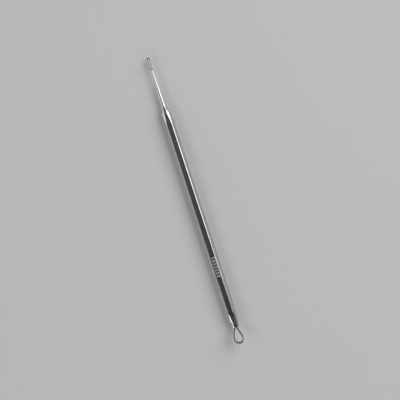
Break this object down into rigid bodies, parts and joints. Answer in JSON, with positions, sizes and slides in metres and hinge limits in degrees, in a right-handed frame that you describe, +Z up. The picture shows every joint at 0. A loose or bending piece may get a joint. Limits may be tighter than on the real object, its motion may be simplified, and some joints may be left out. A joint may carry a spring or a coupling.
{
  "type": "comedone extractor",
  "caption": "Slender steel skin tool with a hexagonal grip, a round eye bent up at one end and a narrow loop on a slim cone at the other.",
  "frame": {"origin": "middle of the tool's length and width, on the plane of the grip facet that it lies on", "axes": "+X along the tool to the round eye, +Y across the tool to its left, +Z up from the facet it lies on, the way the eye is bent"},
  "size_m": [0.1216, 0.0046, 0.0062],
  "materials": {
    "polished_steel": "polished stainless steel with fine grinding lines along the grip"
  },
  "bodies": {
    "root": {"extractor": "polished_steel"}
  },
  "joints": []
}
